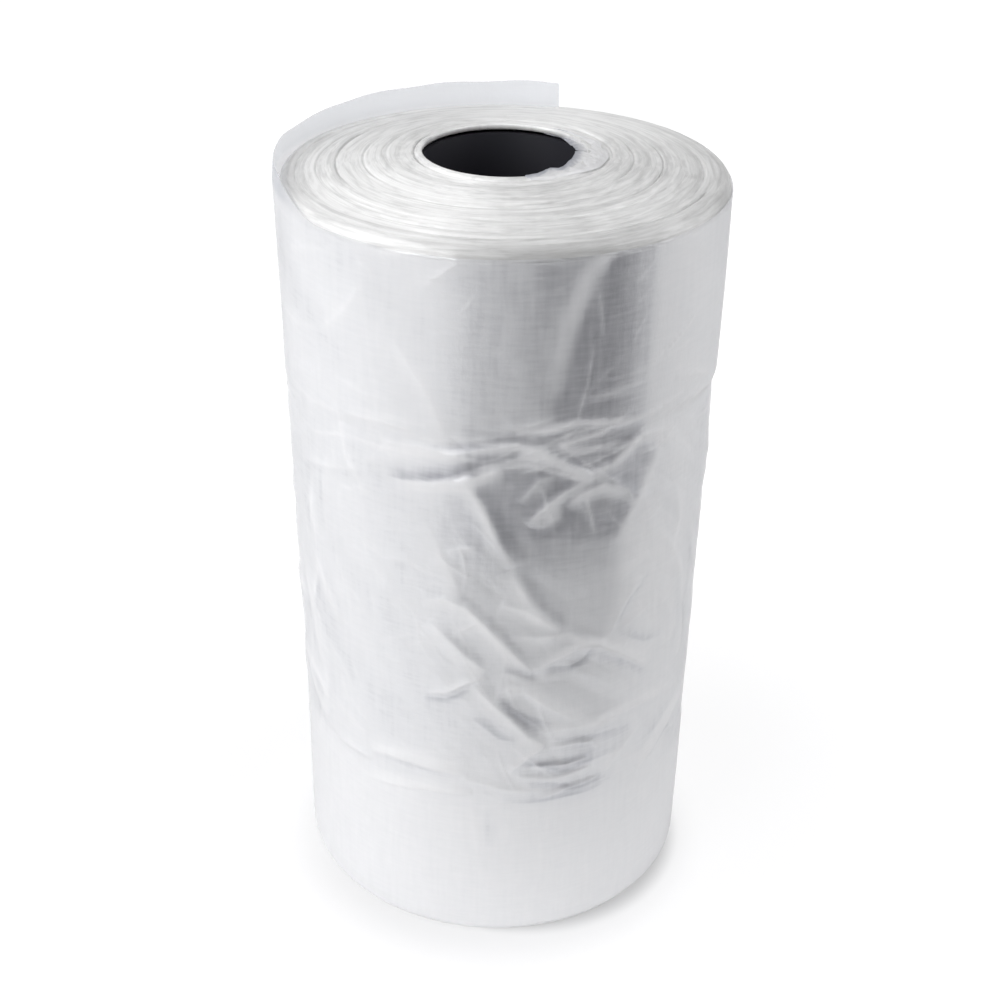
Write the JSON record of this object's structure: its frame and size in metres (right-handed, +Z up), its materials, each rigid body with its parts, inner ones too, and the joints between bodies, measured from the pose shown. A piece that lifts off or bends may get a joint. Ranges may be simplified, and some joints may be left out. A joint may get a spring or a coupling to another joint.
{
  "type": "produce bag roll",
  "caption": "Roll of clear gusseted plastic produce bags wound on a thin plastic core, standing on its end, with the last turn loose at the top.",
  "frame": {"origin": "centre of the roll's footprint on the surface that it stands on", "axes": "+Z up along the core's axis, -Y towards the front, +X to the right seen from the front"},
  "size_m": [0.1416, 0.1416, 0.2574],
  "materials": {
    "core_plastic": "extruded, slightly satin",
    "bag_film": "many layers of clear film, pearly white, glossy"
  },
  "bodies": {
    "root": {"core_tube": "core_plastic", "bag_roll": "bag_film"}
  },
  "joints": []
}
